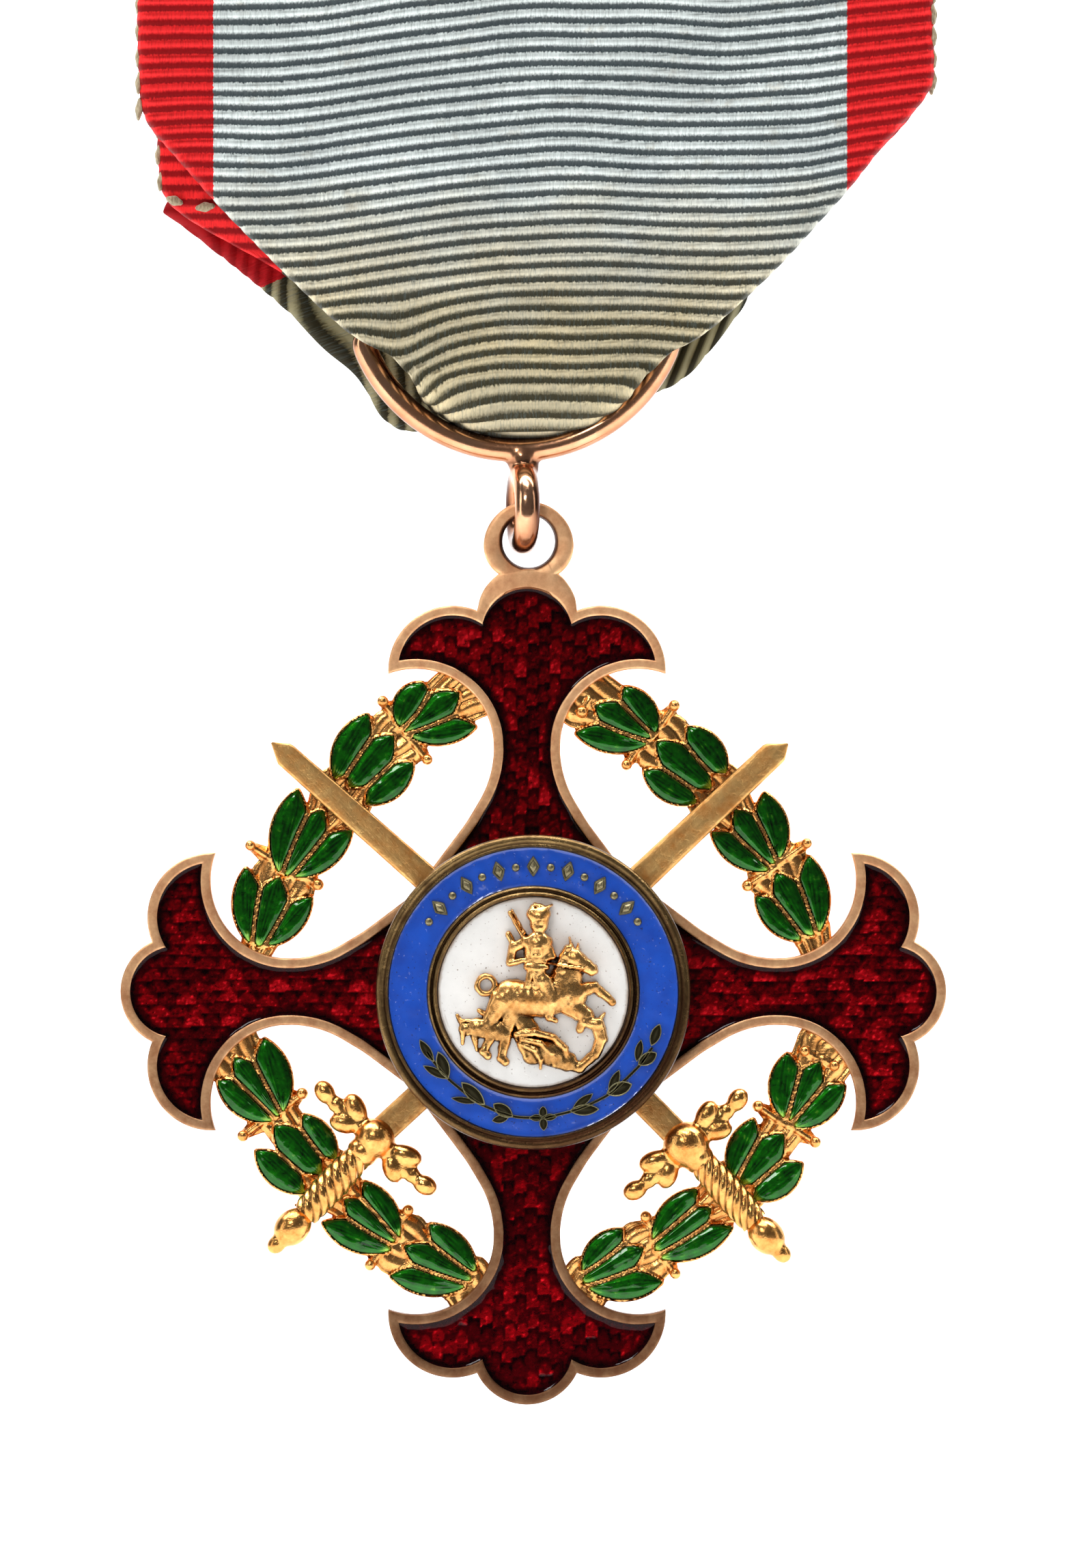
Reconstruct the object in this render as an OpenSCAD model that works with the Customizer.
// Order insignia: a red enamel cross of four clover-ended arms with green laurel
// wreaths and crossed swords between them, a round centre medallion with a mounted
// lancer over a dragon, hung by a ring and a soldered link from a folded ribbon.
// Millimetres. +Z is up, the worn front faces -Y, +X is the viewer's right.
// The figures below are worked out about the medallion's centre, then lowered by
// hang_z so that the origin is the middle of the brooch bar at the ribbon's top.

/* [Cross] */
// Thickness of the cross plate
plate_t = 1.8; // [1.2:0.1:2.4]
// Width of the bare metal border round each arm's enamel
border_w = 0.48; // [0.35:0.01:0.6]
// Depth of the enamel pockets in the arms
pocket_d = 0.55; // [0.3:0.05:0.8]
// Air left round every piece that is laid in or on another
fit = 0.03; // [0.02:0.01:0.05]
// Front face of the arms, measured towards the back from the link's plane
face_y = -0.5; // [-0.8:0.1:0]

/* [Eyelet and link] */
// Outer radius of the eyelet on the top arm
eyelet_r = 2.15; // [2:0.05:2.3]
// Radius of the eyelet's hole
eyelet_hole_r = 1.235; // [1.2:0.005:1.26]
// Thickness of the eyelet
eyelet_t = 1.2; // [1:0.1:1.3]
// Mean radius of the link soldered to the ring
link_r = 1.6; // [1.56:0.01:1.64]
// Radius of the link's wire
link_wire_r = 0.62; // [0.55:0.01:0.64]
// Turn of the link about the upright, as it was soldered
link_turn = 8; // [0:1:10]

/* [Suspension ring] */
// Mean radius of the ring's round lower part
ring_r = 7.725; // [7.5:0.025:7.8]
// Radius of the ring's wire
ring_wire_r = 0.575; // [0.5:0.025:0.6]
// Height of the ring's straight top bar above the medallion's centre
ring_bar_z = 31; // [30.8:0.1:31.4]

/* [Swords] */
// Thickness of the blades
blade_t = 1.0; // [0.8:0.1:1.1]
// Radius of the wound grips
grip_r = 0.72; // [0.6:0.02:0.74]

/* [Wreaths] */
// Thickness of the laurel wreaths
wreath_t = 0.9; // [0.6:0.1:1.2]
// Width of the gold band below the leaves
band_w = 2; // [1.4:0.1:2.2]
// Bare metal left round the enamel of each leaf
leaf_rim = 0.16; // [0.12:0.01:0.2]

/* [Medallion] */
// Outer radius of the medallion's case
case_r = 7.42; // [7.3:0.01:7.5]
// Outer radius of the blue enamel
blue_r = 6.82; // [6.7:0.01:6.9]
// Inner radius of the blue enamel
blue_in_r = 5.0; // [4.95:0.01:5.1]
// Radius of the white enamel
white_r = 4.5; // [4.4:0.01:4.6]
// Height of the raised rider above the white enamel
relief_t = 0.95; // [0.6:0.05:1.2]

/* [Ribbon] */
// Thickness of the ribbon's wall
ribbon_t = 1.0; // [1:0.1:1.1]
// Half the distance between the middles of the two layers
ribbon_half = 1.3; // [1.25:0.01:1.35]
// Columns of facets across the ribbon
ribbon_cols = 16; // [8:2:20]
// Height of the brooch bar above the medallion's centre
hang_z = 49; // [48:0.5:52]

/* [Hidden] */

gold = [0.78, 0.58, 0.42];
red = [0.62, 0.06, 0.08];
green = [0.1, 0.42, 0.22];

// arm outline, along the arm: radii and centres as [sideways, outwards]
lobe_c = [0, 16.87];   lobe_r = 2.61;
horn_c = [3.5, 15.16]; horn_r = 3.05;
gap_c = [5.25, 11.55]; gap_r = 3.68;
waist_c = [6.47, 11.5]; waist_r = 4.9;

// heights are counted outwards from the front face of the arms
blade_h = fit;
floor_h = blade_h + blade_t + 0.42;
rim_h = floor_h + 0.65;
enamel_h = floor_h + 0.5;
relief_h = enamel_h + 0.1 + fit;
wreath_h = -0.1;
hilt_h = 0.72;

module place() translate([0, 0, -hang_z]) children();
// a flat piece between two heights over the front face of the arms
module layer(h0, h1) translate([0, face_y - h0, 0]) rotate([90, 0, 0])
    linear_extrude(h1 - h0) children();
// a flat piece between two depths
module slab(y0, y1) translate([0, y1, 0]) rotate([90, 0, 0])
    linear_extrude(y1 - y0) children();
module ball(p, r, h) translate([p[0], face_y - h, p[1]]) sphere(r, $fn = 36);

function arc(c, r, a0, a1, n) =
    [for (i = [0:n]) let (a = a0 + (a1 - a0) * i / n) [c[0] + r * cos(a), c[1] + r * sin(a)]];
function ang(c, p) = atan2(p[1] - c[1], p[0] - c[0]);
// where two circles cross, on the side chosen by s
function cross2(c1, r1, c2, r2, s) =
    let (d = norm(c2 - c1), a = (r1 * r1 - r2 * r2 + d * d) / (2 * d),
         h = sqrt(r1 * r1 - a * a), u = (c2 - c1) / d, n = [-u[1], u[0]])
    c1 + a * u + s * h * n;
function mirrored(p) = [for (i = [len(p) - 1:-1:0]) if (abs(p[i][0]) > 0.001) [-p[i][0], p[i][1]]];

// right half of an arm, drawn e inside its true edge, starting at distance d0
function arm_half(e, d0) =
    let (tip = cross2(gap_c, gap_r + e, horn_c, horn_r - e, -1),
         notch = cross2(lobe_c, lobe_r - e, horn_c, horn_r - e, 1),
         rb = waist_r + e, ga1 = ang(gap_c, tip))
    concat(
        [[3.6 + 0.75 * (7 - d0) - 1.25 * e, d0], [3.6 - 1.25 * e, 7], [2.85 - 1.2 * e, 8]],
        [for (d = [9, 9.6, 10.2, 10.8, 11.4])
            [waist_c[0] - sqrt(rb * rb - pow(waist_c[1] - d, 2)), d]],
        arc(gap_c, gap_r + e, 176, ga1, 12),
        arc(horn_c, horn_r - e, ang(horn_c, tip) + 4, ang(horn_c, notch), 12),
        arc(lobe_c, lobe_r - e, ang(lobe_c, notch) + 6, 90, 6));
function arm_outline(e, d0) = let (h = arm_half(e, d0)) concat(h, mirrored(h));

// the top and bottom arms sit a little to the left of the side arms' middle
module arm_at(k) translate([k % 2 == 0 ? -0.3 : 0, 0]) rotate(-90 * k) children();

// half width of a pointed leaf of length l and width w, x along from its base
function leaf_half(l, w, x) = let (r = (l * l + w * w) / (4 * w))
    sqrt(max(0, r * r - pow(x - l / 2, 2))) - (r - w / 2);
// a leaf between c0 and c1 along its length, drawn e inside its edge
module leaf(p, q, w, c0 = 0, c1 = 0, e = 0) {
    l = norm(q - p);
    xs = [for (i = [0:8]) c0 + (l - c0 - c1) * i / 8];
    h = [for (x = xs) leaf_half(l, w, x) - e];
    translate(p) rotate(ang(p, q)) polygon(concat(
        [for (i = [0:8]) if (h[i] > 0.005 || i == 0) [xs[i], -max(h[i], 0)]],
        [for (i = [8:-1:0]) if (h[i] > 0.005 || i == 8) [xs[i], max(h[i], 0)]]));
}
module bar(p, q, w0, w1) {
    u = (q - p) / norm(q - p);
    n = [-u[1], u[0]];
    polygon([p + n * w0 / 2, p - n * w0 / 2, q - n * w1 / 2, q + n * w1 / 2]);
}
module limb(p, q, r0, r1) {
    bar(p, q, 1.92 * r0, 1.92 * r1);
    translate(p) circle(r = r0, $fn = 32);
    translate(q) circle(r = r1, $fn = 32);
}

// laurel leaves, three to a spray, columns: base x, base z, tip x, tip z, width
leaves_ul = [
    [-13.4, 2.3, -13.55, 5.85, 0.95], [-13, 2.1, -12, 5.4, 1.2], [-12.6, 2.15, -10.45, 4.45, 0.85],
    [-12, 5.6, -11.1, 9.55, 1.15], [-11.7, 5.45, -9.9, 8.6, 1.15], [-11.3, 5.4, -8.55, 7.6, 0.95],
    [-9.4, 10.05, -7.8, 13.1, 1.05], [-8.7, 9.65, -6.6, 12.1, 1.15], [-7.9, 8.85, -5.65, 10.8, 0.95],
    [-6.35, 12.5, -5.2, 14.6, 1.1], [-6.1, 12.25, -3.5, 14.1, 1.1], [-5.9, 12.1, -2.7, 12.5, 0.85]];
leaves_ur = [
    [13.5, 2.8, 13, 6.4, 0.95], [13.2, 2.6, 11.45, 5.6, 1.1], [12.6, 2.4, 10.5, 4.5, 0.85],
    [11.6, 6.2, 10.9, 9.4, 1.05], [11.4, 6, 9.5, 8.6, 1.1], [11.1, 5.7, 8.4, 7.5, 0.9],
    [9.1, 10.3, 7.3, 12.5, 1.0], [8.4, 9.6, 5.8, 11.8, 1.1], [7.7, 8.9, 5.2, 10.4, 0.9],
    [5.8, 12.1, 4.3, 14.4, 1.0], [5.7, 12, 2.9, 13.5, 1.1], [5.4, 11.7, 2, 12.2, 0.9]];
leaves_ll = [
    [-12.3, -6.1, -14.9, -4.2, 1.0], [-12, -5.9, -14.1, -3.1, 1.05], [-11.8, -5.7, -12.7, -2.2, 1.15],
    [-9.3, -7.9, -10.85, -5.8, 0.8], [-10, -8.6, -12.2, -6.3, 1.1], [-10.8, -9.5, -13.1, -7.5, 0.95],
    [-6.3, -11.6, -8, -8.95, 0.9], [-6.5, -11.8, -8.9, -9.8, 1.0], [-6.7, -12.2, -9.95, -10.9, 0.95],
    [-2.7, -13.2, -4.9, -10.95, 0.9], [-2.9, -13.6, -6.1, -12, 1.0], [-3.2, -13.9, -6.75, -13.4, 0.9]];
leaves_lr = [
    [11.8, -6, 12, -2.9, 1.05], [12.1, -6.1, 13.5, -3.3, 1.0], [12.3, -6.4, 14.7, -4.4, 1.0],
    [9.3, -8.8, 10.4, -6, 0.9], [9.8, -9.1, 11.8, -6.7, 1.1], [10.4, -9.8, 12.7, -8.1, 1.0],
    [5.6, -11.7, 7.7, -9.3, 0.9], [5.7, -12.2, 8.4, -10.2, 1.0], [6, -12.6, 9.4, -11.1, 0.9],
    [2.3, -13.2, 4.2, -11.2, 0.9], [2.3, -13.7, 5.2, -12.1, 1.0], [2.6, -14, 6.1, -13.7, 0.95]];
// berries and the small solder beads, columns: x, z, radius
berries = [
    [-13.35, 6.9, 0.25], [-10.15, 5.05, 0.28], [-7.1, 13.7, 0.27], [-5, 10.95, 0.26],
    [6.65, 13.5, 0.27], [4.4, 10.7, 0.26], [12.9, 7, 0.25], [10.1, 5, 0.28],
    [-10.9, -4.8, 0.28], [-13.7, -6.8, 0.27], [-5.9, -10.3, 0.27], [-7.7, -12.9, 0.26],
    [10.6, -5.4, 0.28], [13.3, -7.1, 0.27], [5.3, -10.6, 0.27], [6.7, -13.3, 0.26],
    [2.3, 13.2, 0.3], [14.4, 3.1, 0.3], [12.8, -2.8, 0.25], [14.2, -3.5, 0.25]];
// stems, from one arm's edge through the sprays to the next arm's edge
stems = [
    [[-13.3, 1.2], [-13, 2.2], [-11.7, 5.5], [-8.7, 9.7], [-6.1, 12.3], [-3, 14.35]],
    [[13.5, 1.2], [13.2, 2.7], [11.4, 6], [8.4, 9.7], [5.7, 12.1], [2.4, 13.9]],
    [[-3, -15.2], [-2.9, -13.6], [-6.5, -11.8], [-10, -8.6], [-12, -5.9], [-14.4, -2.7]],
    [[2.4, -15.2], [2.3, -13.7], [5.7, -12.1], [9.8, -9.1], [12.1, -6.1], [13.9, -2.7]]];

// the stem's point that lies nearest to p
function nearest(p, pts) = let (d = [for (q = pts) norm(q - p)], k = search(min(d), d)) pts[k[0]];
all_knots = [for (s = stems) each s];
// the gold of one wreath: leaf backs, the stem below them and the leaf stalks
module wreath_outline(rows, stem) {
    for (r = rows) leaf([r[0], r[1]], [r[2], r[3]], r[4]);
    for (i = [0:len(stem) - 2]) bar(stem[i], stem[i + 1], i == 0 ? 1.2 : band_w,
        i == len(stem) - 2 ? 1.2 : band_w * 0.8);
    for (i = [1:len(stem) - 2]) translate(stem[i]) circle(r = band_w / 2, $fn = 24);
    for (r = rows) let (p = [r[0], r[1]], q = [r[2], r[3]], k = nearest(p, stem))
        if (norm(k - p) > 0.3) bar(k, p + 0.25 * (q - p), 0.5, 0.4);
}
// the enamel of one leaf, a narrower and shorter leaf with its ends cut square
module leaf_fill(r, e) leaf([r[0], r[1]], [r[2], r[3]], r[4], 0.62 + e, 0.42 + e, leaf_rim + e);
module leaf_set(rows) place() layer(wreath_h - 0.25 + fit, wreath_h - fit)
    for (r = rows) leaf_fill(r, fit);

module leaves_upper_left() color(green) leaf_set(leaves_ul);
module leaves_upper_right() color(green) leaf_set(leaves_ur);
module leaves_lower_left() color(green) leaf_set(leaves_ll);
module leaves_lower_right() color(green) leaf_set(leaves_lr);

// one soldered solid: arms, eyelet and the four wreaths
module cross_frame() color(gold) place() difference() {
    union() {
        layer(-plate_t, 0) union() {
            circle(r = 6.9, $fn = 96);
            for (k = [0:3]) arm_at(k) polygon(arm_outline(0, 5.3));
        }
        layer(wreath_h - wreath_t, wreath_h) union() {
            wreath_outline(leaves_ul, stems[0]);
            wreath_outline(leaves_ur, stems[1]);
            wreath_outline(leaves_ll, stems[2]);
            wreath_outline(leaves_lr, stems[3]);
            for (b = berries) let (p = [b[0], b[1]]) {
                translate(p) circle(r = b[2] - 0.03, $fn = 24);
                bar(p, nearest(p, all_knots), 0.3, 0.4);
            }
        }
        for (b = berries) ball([b[0], b[1]], b[2], wreath_h);
        slab(-eyelet_t / 2, eyelet_t / 2) union() {
            translate([-0.22, 21]) circle(r = eyelet_r, $fn = 72);
            polygon([[-1.72, 19.12], [1.28, 19.12], [1.14, 20.2], [-1.58, 20.2]]);
        }
    }
    layer(-pocket_d, 1) for (k = [0:3]) arm_at(k) polygon(arm_outline(border_w, 5.6));
    layer(wreath_h - 0.25, 0.02) for (rows = [leaves_ul, leaves_ur, leaves_ll, leaves_lr])
        for (r = rows) leaf_fill(r, 0);
    slab(-3, 3) translate([-0.22, 21.25]) circle(r = eyelet_hole_r, $fn = 60);
}
module enamel_arm(k) color(red) place() layer(-pocket_d + fit, -0.05)
    arm_at(k) polygon(arm_outline(border_w + fit, 5.6 + fit));
module enamel_arm_top() enamel_arm(0);
module enamel_arm_right() enamel_arm(1);
module enamel_arm_bottom() enamel_arm(2);
module enamel_arm_left() enamel_arm(3);

// flat outlines of the two swords below the medallion, e wider all round
blade_ul = [[0.7, -0.7], [-5.7, 5.05], [-12.05, 10.75], [-12.35, 11.75], [-11.4, 11.7], [-5, 6.15], [1.6, 0.42]];
blade_ur = [[1.6, 1.07], [5.65, 4.95], [11.85, 10.9], [12, 11.7], [10.9, 11.7], [4.75, 6], [-1.6, 0.12]];
guard_lr = [7.2, -7.2];
guard_ll = [-7.45, -6.9];
module sword_left_outline(e) {
    if (e > 0) bar([-9, 8.75], [1.5, -0.6], 1.45 + 2 * e, 1.45 + 2 * e);
    else polygon(blade_ul);
    bar([-0.1, 0.1], guard_lr, 1.3 + 2 * e, 1.3 + 2 * e);
}
module sword_right_outline(e) {
    if (e > 0) bar([9, 9.1], [-1.2, -0.55], 1.5 + 2 * e, 1.5 + 2 * e);
    else polygon(blade_ur);
    bar([0.1, 0.1], guard_ll, 1.3 + 2 * e, 1.3 + 2 * e);
}
// wound grip: six swellings, drawn as a turned profile
module grip() rotate_extrude($fn = 40) polygon(concat([[0, 0]],
    [for (i = [0:12]) [grip_r * (i % 2 == 0 ? 0.84 : 1), i * 0.305]], [[0, 3.66]]));
module hilt(p, a, guard_r) translate([p[0], face_y - hilt_h, p[1]]) rotate([0, -a, 0]) {
    sphere(guard_r, $fn = 40);
    rotate([0, 90, 0]) cylinder(r = 0.5, h = 6.7, $fn = 30);
    translate([1.2, 0, 0]) rotate([0, 90, 0]) grip();
    translate([1.05, 0, 0]) rotate([0, 90, 0]) cylinder(r = 0.66, h = 0.3, $fn = 30);
    translate([5.65, 0, 0]) sphere(0.67, $fn = 40);
    translate([6.8, 0, 0]) sphere(0.37, $fn = 30);
    for (s = [-1, 1]) {
        translate([0.05, 0, s * (guard_r - 0.3)]) rotate([s > 0 ? 0 : 180, 0, 0])
            cylinder(r = 0.3, h = 3.5 - guard_r, $fn = 30);
        for (t = [-1, 1]) translate([t * 0.42, 0, s * 1.62]) sphere(0.43, $fn = 30);
        translate([0.05, 0, s * 2.65]) sphere(0.42, $fn = 30);
        translate([0.05, 0, s * 3.3]) sphere(0.5, $fn = 30);
    }
}
// the two swords are halved into each other where they cross
module sword_blade_left() color([0.75, 0.62, 0.45]) place() union() {
    difference() {
        layer(blade_h, blade_h + blade_t) sword_left_outline(0);
        layer(blade_h + blade_t / 2 - fit, 3) intersection() {
            circle(r = 5, $fn = 60);
            sword_right_outline(0.12);
        }
    }
    hilt(guard_lr, -48.6, 0.9);
}
module sword_blade_right() color([0.75, 0.62, 0.45]) place() union() {
    difference() {
        layer(blade_h, blade_h + blade_t) sword_right_outline(0);
        layer(-1, blade_h + blade_t / 2) intersection() {
            circle(r = 5, $fn = 60);
            sword_left_outline(0.12);
        }
    }
    hilt(guard_ll, -132.9, 0.78);
}

// case: a turned box with two rims, slotted behind for the swords
module medallion_case() color(gold) place() difference() {
    translate([0, face_y, 0]) rotate([90, 0, 0]) rotate_extrude($fn = 120) polygon([
        [0, fit], [case_r, fit], [case_r, rim_h - 0.2], [case_r - 0.2, rim_h],
        [blue_r + 0.15, rim_h], [blue_r, rim_h - 0.15], [blue_r, floor_h],
        [blue_in_r, floor_h], [blue_in_r, rim_h - 0.05], [blue_in_r - 0.12, rim_h + 0.1],
        [white_r + 0.25, rim_h - 0.05], [white_r + 0.12, rim_h + 0.1],
        [white_r, rim_h - 0.05], [white_r, floor_h], [0, floor_h]]);
    layer(-1, blade_h + blade_t + fit) union() {
        sword_left_outline(0.1);
        sword_right_outline(0.1);
    }
}
module medallion_blue_enamel() color([0.12, 0.2, 0.55]) place()
    layer(floor_h + fit, enamel_h) difference() {
        circle(r = blue_r - fit, $fn = 96);
        circle(r = blue_in_r + fit, $fn = 96);
    }
module medallion_white_enamel() color([0.93, 0.92, 0.88]) place()
    layer(floor_h + fit, enamel_h + 0.1) circle(r = white_r - fit, $fn = 96);

// plain beads and lozenges where the real band has its words
module motto_band_beads() color([0.85, 0.7, 0.45]) place()
    layer(enamel_h + fit, enamel_h + 0.2) for (i = [-7:7]) rotate(90 + i * 8)
        translate([5.92, 0])
            if (i % 2 == 0) polygon([[-0.42, 0], [0, -0.2], [0.42, 0], [0, 0.2]]);
            else circle(r = 0.14, $fn = 24);

// laurel sprig along the lower half of the band, tied at its middle
module laurel_sprig() color([0.45, 0.38, 0.3]) place()
    layer(enamel_h + fit, enamel_h + 0.16) union() {
        difference() {
            intersection() {
                circle(r = 5.98, $fn = 90);
                polygon([[0, 0], [-9.4, -3.4], [-9, -12], [9, -12], [9.4, -2.6]]);
            }
            circle(r = 5.82, $fn = 90);
        }
        for (s = [-1, 1], i = [0:4]) {
            a = 270 + s * (12 + i * 12.5);
            c = 5.9 * [cos(a), sin(a)];
            for (t = [-1, 1]) {
                d = a + s * 90 - s * t * 34;
                leaf(c, c + 1.15 * [cos(d), sin(d)], 0.42);
            }
        }
        translate([0.4, -5.9]) circle(r = 0.42, $fn = 24);
    }

// raised figures, columns: x, z, x, z, radius, radius, step (1 low, 2, 3 high)
figures = [
    [1.1, -2.75, 2.0, -2.9, 0.75, 0.55, 2],  [2.0, -2.9, 3.0, -3.1, 0.4, 0.3, 1],
    [3.0, -3.1, 3.25, -2.7, 0.3, 0.22, 1],   [1.1, -2.75, -0.3, -2.9, 0.7, 0.4, 2],
    [-0.3, -2.9, -1.7, -2.2, 0.4, 0.28, 1],  [-1.7, -2.2, -3.2, -1.7, 0.28, 0.16, 1],
    [-3.2, -1.7, -3.6, -1.2, 0.16, 0.1, 1],  [0.2, -2.3, 0.9, -1.5, 0.5, 0.18, 1],
    [-1.3, -0.1, 0.6, -0.3, 0.85, 0.75, 2],  [0.6, -0.3, 1.5, 0.3, 0.8, 0.6, 2],
    [1.5, 0.3, 2.0, 1.5, 0.6, 0.38, 3],      [2.0, 1.5, 2.85, 1.0, 0.38, 0.22, 3],
    [1.85, 1.7, 1.75, 2.45, 0.2, 0.07, 2],   [1.2, 0.9, 1.75, 2.0, 0.35, 0.2, 2],
    [1.6, -0.1, 2.9, 0.2, 0.35, 0.2, 1],     [2.9, 0.2, 3.75, -0.4, 0.2, 0.16, 1],
    [1.4, -0.6, 2.6, -1.3, 0.35, 0.2, 1],    [2.6, -1.3, 2.9, -2.35, 0.2, 0.14, 1],
    [-1.5, -0.4, -2.2, -1.5, 0.5, 0.25, 1],  [-2.2, -1.5, -2.35, -2.7, 0.22, 0.15, 1],
    [-1.0, -0.7, -1.3, -2.0, 0.4, 0.22, 1],  [-1.3, -2.0, -1.6, -3.1, 0.2, 0.15, 1],
    [-1.9, 0.2, -2.3, 0.75, 0.25, 0.2, 1],   [-2.3, 0.75, -2.9, 0.2, 0.2, 0.14, 1],
    [-2.9, 0.2, -2.75, -0.6, 0.14, 0.1, 1],
    [0.1, 0.4, 0.3, 2.2, 0.5, 0.55, 3],      [0.28, 3.0, 0.28, 3.5, 0.4, 0.42, 3],
    [0.28, 3.5, 0.2, 4.1, 0.3, 0.1, 2],      [-0.1, 2.3, -0.9, 2.9, 0.26, 0.2, 3],
    [-0.9, 2.9, -1.2, 3.5, 0.19, 0.15, 2],   [-1.25, 3.7, 1.2, -2.3, 0.09, 0.09, 1],
    [0.5, 0.5, 0.95, -0.5, 0.33, 0.24, 3],   [0.95, -0.5, 0.75, -1.3, 0.22, 0.2, 2],
    [-0.2, 2.2, -1.4, 1.5, 0.3, 0.25, 1],    [-1.4, 1.5, -2.1, 1.7, 0.25, 0.12, 1],
    [0.28, 2.5, 0.28, 3.0, 0.25, 0.25, 3],   [-0.9, 0.7, 0.9, 0.5, 0.3, 0.3, 2]];
module rider_relief() color([0.85, 0.68, 0.4]) place() union()
    for (s = [1:3]) layer(relief_h, relief_h + relief_t * [0.42, 0.72, 1][s - 1])
        union() for (f = figures) if (f[6] >= s)
            limb([f[0], f[1]], [f[2], f[3]], f[4], f[5]);

module back_plate() color(gold) place()
    layer(-plate_t - 0.6, -plate_t - fit) circle(r = 7.0, $fn = 96);

// ring: a half moon of wire under a straight bar, with the link soldered below
ring_c = [-0.8, 24.97 + ring_wire_r + ring_r];
link_c = [-0.5, 22.82];
module suspension_ring() color(gold) place() {
    half = sqrt(ring_r * ring_r - pow(ring_c[1] - ring_bar_z, 2));
    a = acos(half / ring_r);
    union() {
        translate([ring_c[0], 0, ring_c[1]]) rotate([90, 0, 0]) rotate([0, 0, 180 + a])
            rotate_extrude(angle = 180 - 2 * a, $fn = 96)
                translate([ring_r, 0]) circle(r = ring_wire_r, $fn = 36);
        translate([ring_c[0] - half, 0, ring_bar_z]) rotate([0, 90, 0])
            cylinder(r = ring_wire_r - 0.03, h = 2 * half, $fn = 36);
        for (s = [-1, 1]) translate([ring_c[0] + s * half, 0, ring_bar_z])
            sphere(ring_wire_r + 0.03, $fn = 36);
        translate([link_c[0], 0, link_c[1]]) rotate([0, 0, link_turn]) rotate([0, 90, 0])
            rotate_extrude($fn = 72) translate([link_r, 0]) circle(r = link_wire_r, $fn = 36);
        translate([link_c[0], 0, 25.2]) sphere(0.72, $fn = 36);
    }
}

// the ribbon is one closed band: down the front, round the fold in the ring, up the
// back and over the brooch bar; columns: left x, left z, right x, right z, sag of the
// middle, turn (0 front layer, 180 back layer, between them a fold)
band = [
    [-18.7, 49.6, 18.7, 49.6, 0, 0],        [-18.68, 45, 18.75, 45, 0, 0],
    [-18.3, 40.7, 18.85, 42.5, 0, 0],       [-16.1, 38.6, 15.0, 38.4, 0.15, 0],
    [-11.5, 34.1, 11.35, 34.1, 0.5, 0],     [-8.5, 31, 8.4, 31, 1.1, 0],
    [-7.2, 30.1, 6.4, 30.1, 1.7, 0],        [-5.7, 30, 4.1, 30, 1.85, 30],
    [-5.5, 30, 3.9, 30, 1.85, 60],          [-5.5, 30, 3.9, 30, 1.85, 90],
    [-5.5, 30, 3.9, 30, 1.85, 120],         [-5.7, 30, 4.1, 30, 1.85, 150],
    [-6.8, 30.2, 6.2, 30.3, 1.5, 180],      [-8.6, 31.2, 8.1, 31.1, 0.8, 180],
    [-11.7, 33.9, 10.9, 33.9, 0.3, 180],    [-17, 37.6, 14.6, 38, 0.1, 180],
    [-17.8, 40, 18.9, 42.4, 0, 180],        [-17.8, 45, 19, 45, 0, 180],
    [-17.9, 49.6, 18.9, 49.6, 0, 180]];
function lerp(a, b, t) = a + (b - a) * t;
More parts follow.
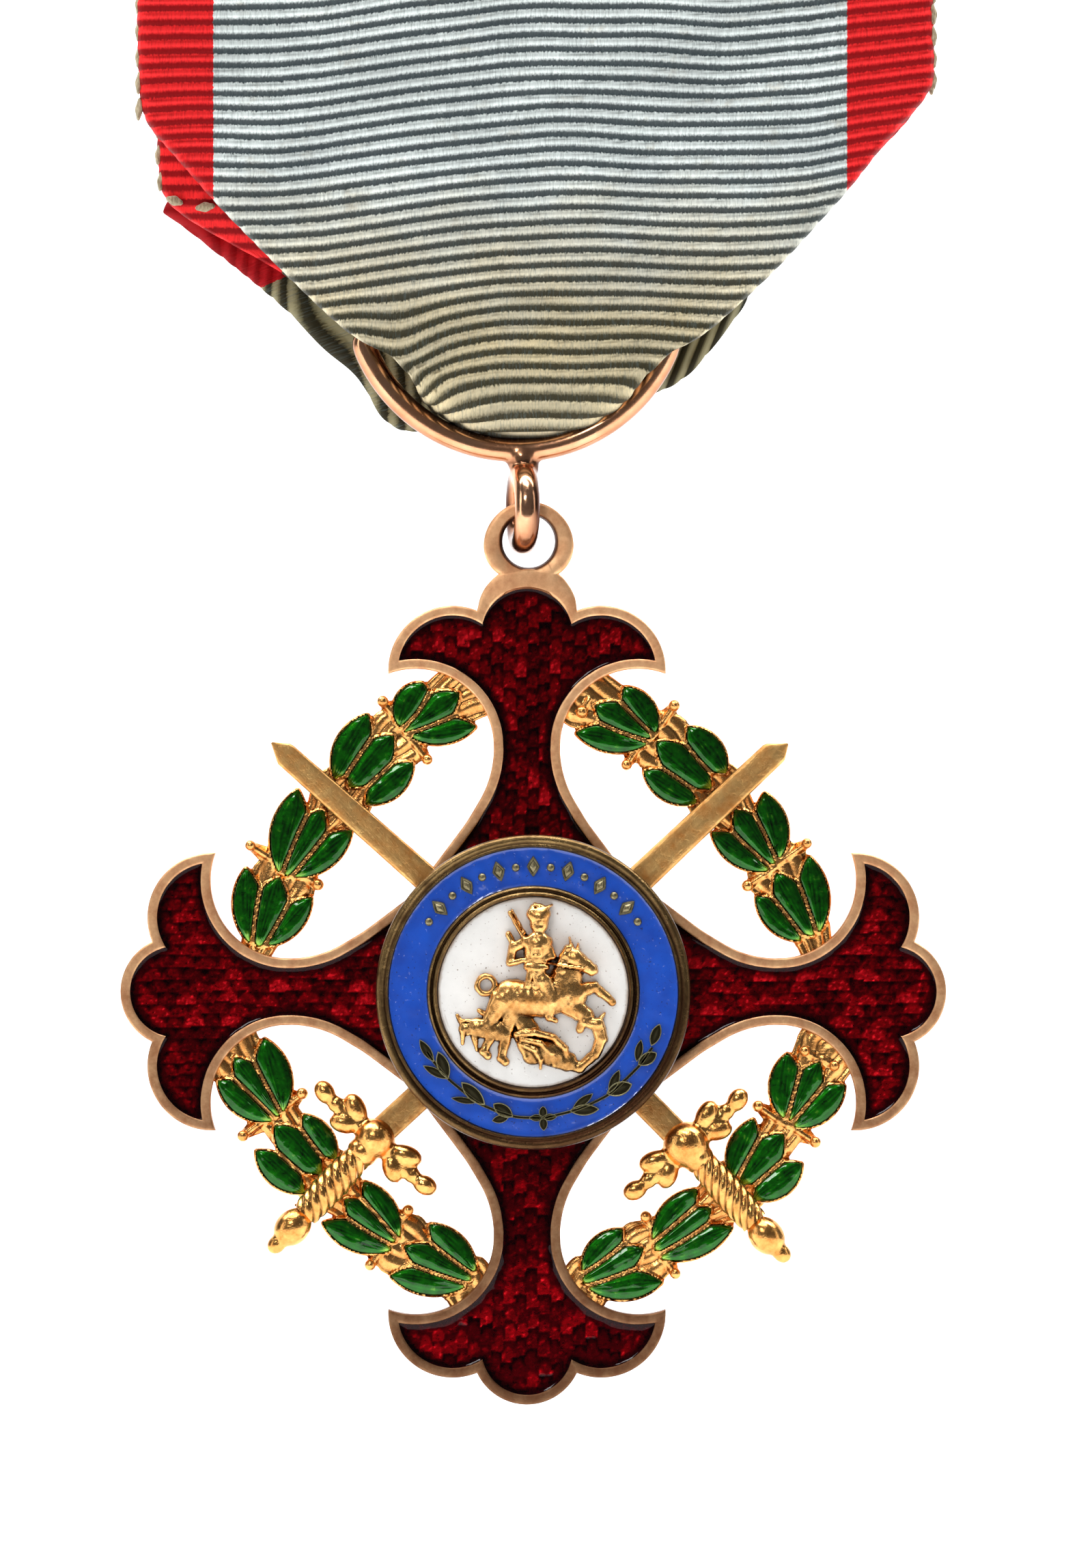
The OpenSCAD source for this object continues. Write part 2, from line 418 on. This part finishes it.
// middle surface and its direction of thickness at station r, position u = -1 to 1
function band_mid(r, u) = let (t = (u + 1) / 2)
    [lerp(r[0], r[2], t), -ribbon_half * cos(r[5]),
     lerp(r[1], r[3], t) - r[4] * (1 - u * u) - ribbon_half * sin(r[5])];
function band_out(r) = [0, -cos(r[5]), -sin(r[5])];
over = [for (a = [30:30:150]) [-18.7 + 0.8 * a / 180, 49.6, 18.7 + 0.2 * a / 180, 49.6, 0, 180 + a]];
function between(r, s) = [for (k = [0:5]) (r[k] + s[k]) / 2];
stations = concat([for (i = [0:len(band) - 1]) each
    (i < len(band) - 1 && band[i][5] == band[i + 1][5] ? [band[i], between(band[i], band[i + 1])]
     : [band[i]])], over);
function at(s, i, j, n, m) = s * n * m + (i % n) * m + j;
module ribbon() color([0.66, 0.67, 0.7]) place() {
    n = len(stations);
    m = ribbon_cols + 1;
    us = [for (j = [0:m - 1]) -1 + 2 * j / (m - 1)];
    // ripples of the gathered front cloth near the ring
    rip = [for (r = stations) r[5] == 0 ?
           0.22 * max(0, 1 - abs(min(r[1], r[3]) - 33) / 5) : 0];
    pts = [for (side = [1, -1], i = [0:n - 1], j = [0:m - 1])
        band_mid(stations[i], us[j]) + band_out(stations[i]) *
        (side * ribbon_t / 2 + rip[i] * (1 - cos(us[j] * 540)) / 2)];
    polyhedron(pts, concat(
        [for (i = [0:n - 1], j = [0:m - 2]) each [
            [at(0, i, j, n, m), at(0, i, j + 1, n, m), at(0, i + 1, j + 1, n, m)],
            [at(0, i, j, n, m), at(0, i + 1, j + 1, n, m), at(0, i + 1, j, n, m)],
            [at(1, i, j, n, m), at(1, i + 1, j + 1, n, m), at(1, i, j + 1, n, m)],
            [at(1, i, j, n, m), at(1, i + 1, j, n, m), at(1, i + 1, j + 1, n, m)]]],
        [for (i = [0:n - 1]) each [
            [at(0, i, 0, n, m), at(0, i + 1, 0, n, m), at(1, i + 1, 0, n, m)],
            [at(0, i, 0, n, m), at(1, i + 1, 0, n, m), at(1, i, 0, n, m)],
            [at(0, i, m - 1, n, m), at(1, i + 1, m - 1, n, m), at(0, i + 1, m - 1, n, m)],
            [at(0, i, m - 1, n, m), at(1, i, m - 1, n, m), at(1, i + 1, m - 1, n, m)]]]), convexity = 6);
}

// the ribbon's corners turned in behind the ring: the edge that shows round the front
module ribbon_rear_fold() color([0.45, 0.3, 0.28]) place()
    slab(ribbon_half + ribbon_t / 2 + 0.1, ribbon_half + ribbon_t * 1.5 + 0.1) polygon([
        [-17.54, 36.83], [-15.7, 35.45], [-13.83, 34.02], [-11.43, 32.02], [-9.71, 30.06],
        [-8.3, 29.3], [-7.8, 28.1], [-7.3, 27.04], [-6.6, 26.45], [-5.6, 26.25], [-3.8, 27],
        [4.4, 28], [6.17, 28.3], [7.47, 29.1], [8.67, 30.65], [10.56, 33.05], [9, 36],
        [-12, 38], [-17.4, 38]]);

// plain bar inside the top fold, bent round both edges to a pin behind
module brooch_pin() color([0.7, 0.68, 0.64]) translate([0, 0, 0]) union() {
    translate([-20.2, -0.7, -1]) cube([40.4, 1.4, 2]);
    for (s = [-1, 1]) translate([s > 0 ? 19.4 : -20.2, 0, -0.6]) cube([0.8, 3.6, 1.2]);
    translate([-20, 3.2, 0]) rotate([0, 90, 0]) cylinder(r = 0.35, h = 40, $fn = 24);
}

cross_frame();
enamel_arm_top();
enamel_arm_right();
enamel_arm_bottom();
enamel_arm_left();
leaves_upper_left();
leaves_upper_right();
leaves_lower_left();
leaves_lower_right();
sword_blade_left();
sword_blade_right();
medallion_case();
medallion_blue_enamel();
medallion_white_enamel();
motto_band_beads();
laurel_sprig();
rider_relief();
back_plate();
suspension_ring();
ribbon();
ribbon_rear_fold();
brooch_pin();
